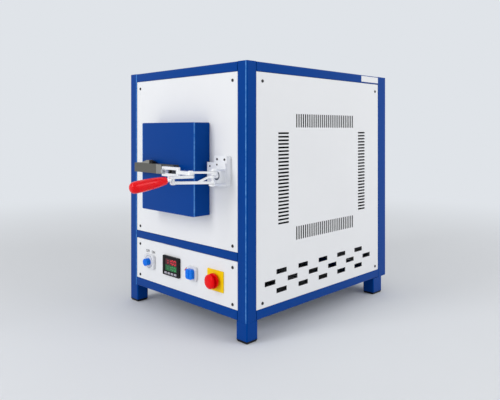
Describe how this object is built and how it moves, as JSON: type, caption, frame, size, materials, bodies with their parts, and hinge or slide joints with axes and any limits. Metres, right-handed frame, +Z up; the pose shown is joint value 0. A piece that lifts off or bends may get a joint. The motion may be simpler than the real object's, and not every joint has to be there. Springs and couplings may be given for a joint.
{
  "type": "laboratory chamber furnace",
  "caption": "Bench-top chamber furnace: tube frame, sheet panels, fibre muffle, side-hinged door shut by a toggle clamp, slotted sides, and a control bay with switches and a stop button.",
  "frame": {"origin": "under the middle of the whole part, on the surface that the four foot caps stand on", "axes": "+Z up, the door and the controls face -Y, +X to the right as someone facing the door sees it"},
  "size_m": [0.452, 0.812, 0.6155],
  "materials": {
    "blue_paint": "satin",
    "white_paint": "satin",
    "black_plastic": "satin",
    "zinc": "satin",
    "grey_steel": "satin",
    "plain_steel": "satin",
    "fibre": "matte",
    "ceramic": "matte",
    "heater_alloy": "matte",
    "red_grip": "gloss",
    "red_button": "satin",
    "yellow_plate": "satin",
    "blue_knob": "satin",
    "grey_plastic": "satin"
  },
  "bodies": {
    "cabinet": {"post_front_left": "blue_paint", "post_front_right": "blue_paint", "post_rear_left": "blue_paint", "post_rear_right": "blue_paint", "rail_front_top": "blue_paint", "rail_front_middle": "blue_paint", "rail_front_bottom": "blue_paint", "rail_rear_top": "blue_paint", "rail_rear_bottom": "blue_paint", "rail_left_top": "blue_paint", "rail_left_bottom": "blue_paint", "rail_right_top": "blue_paint", "rail_right_bottom": "blue_paint", "leg_front_left": "blue_paint", "leg_front_right": "blue_paint", "leg_rear_left": "blue_paint", "leg_rear_right": "blue_paint", "foot_cap_front_left": "black_plastic", "foot_cap_front_right": "black_plastic", "foot_cap_rear_left": "black_plastic", "foot_cap_rear_right": "black_plastic", "front_panel": "white_paint", "control_panel": "white_paint", "left_panel": "white_paint", "right_panel": "white_paint", "rear_panel": "white_paint", "top_panel": "white_paint", "bottom_panel": "plain_steel", "shelf": "plain_steel", "muffle": "fibre", "rear_insulation": "fibre", "hearth_plate": "ceramic", "thermocouple": "ceramic", "heater_left": "heater_alloy", "heater_right": "heater_alloy", "control_gear": "plain_steel", "cable_gland": "black_plastic", "hinge_bracket": "grey_steel", "clamp_block": "zinc", "clamp_base": "zinc", "power_switch_bezel": "grey_plastic", "selector_bezel": "grey_plastic", "controller": "black_plastic", "stop_plate": "yellow_plate"},
    "door": {"door_shell": "blue_paint", "door_insulation": "fibre", "door_arm": "grey_steel"},
    "clamp_arm": {"clamp_arm": "zinc", "clamp_spindle": "plain_steel"},
    "clamp_handle": {"clamp_handle": "zinc", "clamp_grip": "red_grip"},
    "clamp_link": {"clamp_link": "zinc"},
    "power_knob": {"power_switch_knob": "blue_knob"},
    "selector_knob": {"selector_knob": "blue_knob"},
    "stop_stem": {"stop_stem": "red_button"},
    "stop_head": {"stop_head": "red_button"},
    "key_1": {"key_1": "grey_plastic"},
    "key_2": {"key_2": "grey_plastic"},
    "key_3": {"key_3": "grey_plastic"},
    "key_4": {"key_4": "grey_plastic"}
  },
  "joints": [
    {"name": "door_hinge", "type": "hinge", "parent": "cabinet", "child": "door", "pos_m": [-0.115, -0.208, 0.3695], "axis": [0, 0, -1], "range_deg": [0, 90]},
    {"name": "clamp_arm_pivot", "type": "hinge", "parent": "cabinet", "child": "clamp_arm", "pos_m": [0.1658, -0.225, 0.3695], "axis": [0, 0, 1], "range_deg": [0, 130]},
    {"name": "clamp_handle_pivot", "type": "hinge", "parent": "clamp_arm", "child": "clamp_handle", "pos_m": [0.1291, -0.2604, 0.3625], "axis": [0, 0, -1], "range_deg": [0, 55]},
    {"name": "clamp_link_pivot", "type": "hinge", "parent": "cabinet", "child": "clamp_link", "pos_m": [0.1674, -0.2313, 0.3505], "axis": [0, 0, 1], "range_deg": [0, 113]},
    {"name": "power_switch_turn", "type": "hinge", "parent": "cabinet", "child": "power_knob", "pos_m": [-0.132, -0.19, 0.1205], "axis": [0, 1, 0], "range_deg": [0, 90]},
    {"name": "selector_turn", "type": "hinge", "parent": "cabinet", "child": "selector_knob", "pos_m": [0.0435, -0.19, 0.1215], "axis": [0, 1, 0], "range_deg": [0, 90]},
    {"name": "stop_push", "type": "slide", "parent": "cabinet", "child": "stop_stem", "axis": [0, 1, 0], "range_m": [0, 0.004]},
    {"name": "stop_twist", "type": "hinge", "parent": "stop_stem", "child": "stop_head", "pos_m": [0.124, -0.2, 0.1205], "axis": [0, 1, 0], "range_deg": [0, 45], "stiffness_Nm_per_rad": 0.05},
    {"name": "key_1_press", "type": "slide", "parent": "cabinet", "child": "key_1", "axis": [0, 1, 0], "range_m": [0, 0.0008], "stiffness_N_per_m": 300},
    {"name": "key_2_press", "type": "slide", "parent": "cabinet", "child": "key_2", "axis": [0, 1, 0], "range_m": [0, 0.0008], "stiffness_N_per_m": 300},
    {"name": "key_3_press", "type": "slide", "parent": "cabinet", "child": "key_3", "axis": [0, 1, 0], "range_m": [0, 0.0008], "stiffness_N_per_m": 300},
    {"name": "key_4_press", "type": "slide", "parent": "cabinet", "child": "key_4", "axis": [0, 1, 0], "range_m": [0, 0.0008], "stiffness_N_per_m": 300}
  ],
  "couplings": [
    {"joint": "clamp_arm_pivot", "follows": "door_hinge", "ratio": 1.44},
    {"joint": "clamp_handle_pivot", "follows": "door_hinge", "ratio": 0.61},
    {"joint": "clamp_link_pivot", "follows": "door_hinge", "ratio": 1.25}
  ]
}
